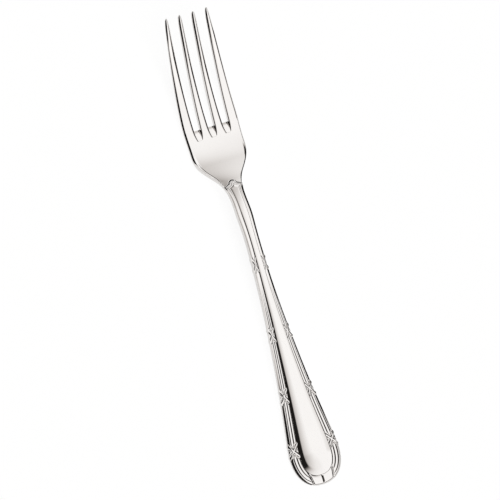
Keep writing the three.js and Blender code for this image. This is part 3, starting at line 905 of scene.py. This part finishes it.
def loop_inset(shape, x, along):
    """Distance in from the outline of the handle's relief, and how far it faces sideways there."""
    relief = shape.relief
    shoulder = steps(SHOULDER_POINTS)[1:]
    side = np.linspace(shape.sides_at, STEM_AT + ARCH_SIDES_PAST, SIDE_POINTS)
    top_x = relief.arch_width / 2 * np.sin(ARCH_TURN)
    top_a = shape.arch_at + relief.arch_rise * (1.0 - np.cos(ARCH_TURN))
    out_x = mix(top_x[-1], float(shape.half_width(shape.sides_at)), shoulder)
    edge_x = np.concatenate([top_x, out_x, shape.half_width(side)])
    edge_a = np.concatenate([top_a, mix(top_a[-1], shape.sides_at, shoulder), side])
    flared = np.full_like(shoulder, SHOULDER_FACING)
    facing = np.concatenate([np.sin(ARCH_TURN), flared, np.ones_like(side)])
    gaps = np.hypot(x[:, None] - edge_x, along - edge_a)
    nearest = gaps.argmin(axis=1)
    gap = gaps.min(axis=1)
    inside = x < np.interp(along, edge_a, edge_x)
    inset = np.where(inside & (along > shape.arch_at), gap, -gap)
    return inset, ease(facing[nearest], *SIDEWAYS_RANGE)


def neck_row(shape, along):
    """Right half of a section of the neck: the head's plate, and the relief that rises from it."""
    wide, border = float(shape.half_width(along)), float(shape.border(along))
    crest = float(shape.crest(along))
    width = wide - border
    columns = np.concatenate([PANEL_COLUMNS * width, wide - border_shares(shape.relief.reeds) * border])
    step = shape.relief.arch_step * ease(along, NECK_AT, shape.arch_at)
    plate = shape.front(along, columns) - step - shape.edge_drop(along, wide - columns)
    top = plate
    if along > shape.arch_at:
        inset, sideways = loop_inset(shape, columns, along)
        fade_from = mix(shape.arch_at, shape.sides_at, ARCH_FADE_FROM)
        arch = 1.0 - ease(along, fade_from, shape.sides_at + ARCH_FADE_PAST)
        foot = np.clip(crest - plate, shape.relief.arch_step, FOOT_LIMIT * shape.relief.arch_step)
        reach = mix(ARCH_FOOT, foot / ARCH_SIDE_SLOPE, sideways)
        reeds = crest + shape.border_level(np.clip(inset, 0.0, border), [], border, arch, foot, reach)
        share = np.clip(1.0 - (inset - border) / width, 0.0, 1.0)
        panel = crest + shape.panel_rim(border) + shape.panel_level(share, width, along)
        relief = np.where(inset < border, reeds, panel)
        top = np.where(inset > ON_OUTLINE, np.maximum(plate, relief), plate)
    return section(shape, along, columns, top)


class FORK_OT_neck(bpy.types.Operator):
    """Model the neck and the arch where the handle's relief begins"""

    bl_idname = "fork.neck"
    bl_label = "Make the neck"

    def execute(self, context):
        shape = ForkShape(context.scene)
        fine_from = shape.arch_at - ARCH_ROWS_BEFORE
        places = np.concatenate([spaced(NECK_AT, fine_from, ROWS_ON_PLATE),
                                 spaced(fine_from, STEM_AT, ROWS_ON_ARCH)[1:]])
        mirrored_piece("fork_neck", np.array([neck_row(shape, along) for along in places]), "neck")
        return {"FINISHED"}


class FORK_OT_handle(bpy.types.Operator):
    """Model the stem, the handle and its rounded end, with reeds, ribbon ties and panel"""

    bl_idname = "fork.handle"
    bl_label = "Make the stem and handle"

    def execute(self, context):
        shape = ForkShape(context.scene)
        reach = TIE_ROWS_REACH * shape.relief.tie_half_span
        regions = (("fork_stem", "stem", STEM_AT, HANDLE_AT), ("fork_handle", "handle", HANDLE_AT, END_AT),
                   ("fork_handle_end", "handle_end", END_AT, shape.widest_at))
        for name, node, low, high in regions:
            places = finer(low, high, ROWS_ON_HANDLE, shape.ties, reach, ROWS_ON_TIES)
            rows = np.array([straight_row(shape, along) for along in places])
            if node == "handle_end":
                rows = np.concatenate([rows, round_rows(shape, ROWS_ROUND_END)[1:]])
            mirrored_piece(name, rows, node)
        return {"FINISHED"}


# Stage

# Soft box overhead, as places on a ceiling one metre up: middle, half sizes, widening, and fade of its rim
BOX_X = 0.14
BOX_Y = -1.2
BOX_HALF_WIDTH = 0.62
BOX_HALF_LENGTH = 3.6
BOX_WIDENING = -0.3
BOX_FADE = (0.42, 1.22)

# Card beyond the tips: its near and far edges, its middle and sides as shares of Y, and its strength
CARD_NEAR = (0.9, 0.64)
CARD_FAR = (1.5, 2.1)
CARD_ASIDE = 0.45
CARD_SIDES = (0.42, 0.7)
CARD_LIGHT = 0.85

# Limit on the light that the handle's panel mirrors, and low fill from behind on the right
LIMIT_FADE = (-0.35, -0.6)
LIMIT_CUT = -0.085
FILL_X = (2.6, 1.7)
FILL_Y = (-2.0, -1.2)
FILL_LIGHT = 0.3

# Light from below the horizon, and what is left in the dark
UNDER_FADE = (-0.02, 0.0)
UNDER_LIGHT = 0.9
DARK_LIGHT = 0.012
DARK_TINT = (1.0, 0.92, 0.86, 1.0)
WHITE = (1.0, 1.0, 1.0, 1.0)
LOWEST_Z = 0.02
LEAST_Y = 0.1


def studio_world(scene):
    """White surroundings for the camera, and a soft overhead light with dark edges for the steel."""
    world = bpy.data.worlds.new("studio")
    scene.world = world
    world.use_nodes = True
    tree = world.node_tree
    tree.nodes.clear()
    node = partial(add_node, tree)
    place = node("ShaderNodeTexCoord", {}).outputs["Generated"]
    split = node("ShaderNodeSeparateXYZ", {"Vector": place})

    def math_node(operation, *values):
        return node("ShaderNodeMath", dict(enumerate(values)), operation=operation).outputs["Value"]

    def fade(value, inner, outer):
        return node("ShaderNodeMapRange", {
            "Value": value, "From Min": inner, "From Max": outer, "To Min": 1.0, "To Max": 0.0},
            interpolation_type="SMOOTHSTEP").outputs["Result"]

    height = math_node("MAXIMUM", split.outputs["Z"], LOWEST_Z)
    x, y = (math_node("DIVIDE", split.outputs[axis], height) for axis in "XY")
    width = math_node("MULTIPLY_ADD", math_node("MINIMUM", y, 0.0), BOX_WIDENING, BOX_HALF_WIDTH)
    across = math_node("DIVIDE", math_node("SUBTRACT", x, BOX_X), width)
    along = math_node("DIVIDE", math_node("SUBTRACT", y, BOX_Y), BOX_HALF_LENGTH)
    squares = (math_node("POWER", value, 2.0) for value in (across, along))
    box = fade(math_node("SQRT", math_node("ADD", *squares)), *BOX_FADE)
    aside = math_node("DIVIDE", x, math_node("MAXIMUM", y, LEAST_Y))
    aside = math_node("ABSOLUTE", math_node("SUBTRACT", aside, CARD_ASIDE))
    card = math_node("MULTIPLY", fade(y, *CARD_NEAR), fade(aside, *CARD_SIDES))
    card = math_node("MULTIPLY", card, fade(y, *CARD_FAR))
    box = math_node("MULTIPLY_ADD", card, CARD_LIGHT, box)
    limit = math_node("MULTIPLY_ADD", fade(y, *LIMIT_FADE), LIMIT_CUT, 1.0)
    box = math_node("MINIMUM", box, limit)
    fill = math_node("MULTIPLY", fade(x, *FILL_X), fade(y, *FILL_Y))
    box = math_node("MULTIPLY_ADD", fill, FILL_LIGHT, box)
    under = math_node("MULTIPLY_ADD", fade(split.outputs["Z"], *UNDER_FADE), UNDER_LIGHT, DARK_LIGHT)
    level = math_node("MULTIPLY_ADD", box, scene.fork_studio.light, under)
    path = node("ShaderNodeLightPath", {})
    seen = node("ShaderNodeMix", {0: path.outputs["Is Camera Ray"], 2: level, 3: 1.0},
                data_type="FLOAT").outputs[0]
    tint = node("ShaderNodeMix", {0: seen, 6: DARK_TINT, 7: WHITE}, data_type="RGBA").outputs[2]
    sky = node("ShaderNodeBackground", {"Color": tint, "Strength": seen})
    node("ShaderNodeOutputWorld", {"Surface": sky.outputs["Background"]})


# Floor: its own shade and glow to the camera, and the share of that which the steel mirrors
FLOOR_SIZE = 6.0
FLOOR_SHADE = (0.22, 0.22, 0.22, 1.0)
FLOOR_GLOW = 0.89
FLOOR_IN_STEEL = 0.6
CLIP_START = 0.01


def floor_finish(studio):
    """Plain pale floor that shows white, with the fork's soft shadow."""
    material = bpy.data.materials.new("plain_floor")
    material.use_nodes = True
    tree = material.node_tree
    tree.nodes.clear()
    node = partial(add_node, tree)
    matt = node("ShaderNodeBsdfDiffuse", {"Color": (*studio.floor_colour, 1.0)})
    dim = node("ShaderNodeBsdfDiffuse", {"Color": FLOOR_SHADE})
    glow = node("ShaderNodeEmission", {"Strength": FLOOR_GLOW})
    white = node("ShaderNodeAddShader", {0: dim.outputs["BSDF"], 1: glow.outputs["Emission"]})
    path = node("ShaderNodeLightPath", {})
    shine = node("ShaderNodeMath", {
        0: path.outputs["Is Glossy Ray"], 1: FLOOR_IN_STEEL, 2: path.outputs["Is Camera Ray"]},
        operation="MULTIPLY_ADD")
    blend = node("ShaderNodeMixShader", {
        "Fac": shine.outputs["Value"], 1: matt.outputs["BSDF"], 2: white.outputs["Shader"]})
    node("ShaderNodeOutputMaterial", {"Surface": blend.outputs["Shader"]})
    return material


class FORK_OT_stage(bpy.types.Operator):
    """Set the plain floor, the soft light and the camera"""

    bl_idname = "fork.stage"
    bl_label = "Set the stage"

    def execute(self, context):
        scene = context.scene
        studio = scene.fork_studio
        scene.view_settings.view_transform = "Standard"
        bpy.ops.object.select_all(action="DESELECT")
        bpy.ops.mesh.primitive_plane_add(size=FLOOR_SIZE, location=(0.0, 0.0, 0.0))
        floor = context.object
        floor.name = floor.data.name = "plain_floor"
        floor.data.materials.append(floor_finish(studio))
        studio_world(scene)
        lean, turn = studio.tilt, studio.roll
        back = Vector((-math.sin(lean), 0.0, math.cos(lean)))
        level = Vector((math.cos(lean), 0.0, math.sin(lean)))
        ahead = Vector((0.0, 1.0, 0.0))
        up = ahead * math.cos(turn) + level * math.sin(turn)
        right = level * math.cos(turn) - ahead * math.sin(turn)
        bpy.ops.object.camera_add()
        camera = context.object
        camera.name = "camera"
        spot = back * studio.distance + right * studio.aim_right + up * studio.aim_up
        camera.matrix_world = Matrix.Translation(spot) @ Matrix((right, up, back)).transposed().to_4x4()
        camera.data.lens = studio.lens
        camera.data.clip_start = CLIP_START
        scene.camera = camera
        return {"FINISHED"}


class FORK_PT_sidebar(bpy.types.Panel):
    """The fork's sizes and steps"""

    bl_label = "Serving fork"
    bl_idname = "FORK_PT_sidebar"
    bl_space_type = "VIEW_3D"
    bl_region_type = "UI"
    bl_category = "Serving fork"

    def draw(self, context):
        for group in GROUPS:
            values = getattr(context.scene, group)
            box = self.layout.box()
            box.label(text=type(values).__doc__)
            for name in values.bl_rna.properties.keys():
                if name not in {"name", "rna_type"}:
                    box.prop(values, name)
        for operator in OPERATORS:
            self.layout.operator(operator.bl_idname)


GROUPS = {"fork_outline": FORK_PG_outline, "fork_tines": FORK_PG_tines, "fork_relief": FORK_PG_relief,
          "fork_steel": FORK_PG_steel, "fork_studio": FORK_PG_studio}
OPERATORS = (FORK_OT_tines, FORK_OT_head, FORK_OT_neck, FORK_OT_handle, FORK_OT_stage)
CLASSES = (*GROUPS.values(), *OPERATORS, FORK_PT_sidebar)


def register():
    for cls in CLASSES:
        bpy.utils.register_class(cls)
    for name, group in GROUPS.items():
        setattr(bpy.types.Scene, name, PointerProperty(type=group))


def unregister():
    for name in GROUPS:
        delattr(bpy.types.Scene, name)
    for cls in reversed(CLASSES):
        bpy.utils.unregister_class(cls)


def main():
    register()
    bpy.ops.fork.tines()
    bpy.ops.fork.head()
    bpy.ops.fork.neck()
    bpy.ops.fork.handle()
    bpy.ops.fork.stage()


if __name__ == "__main__":
    main()
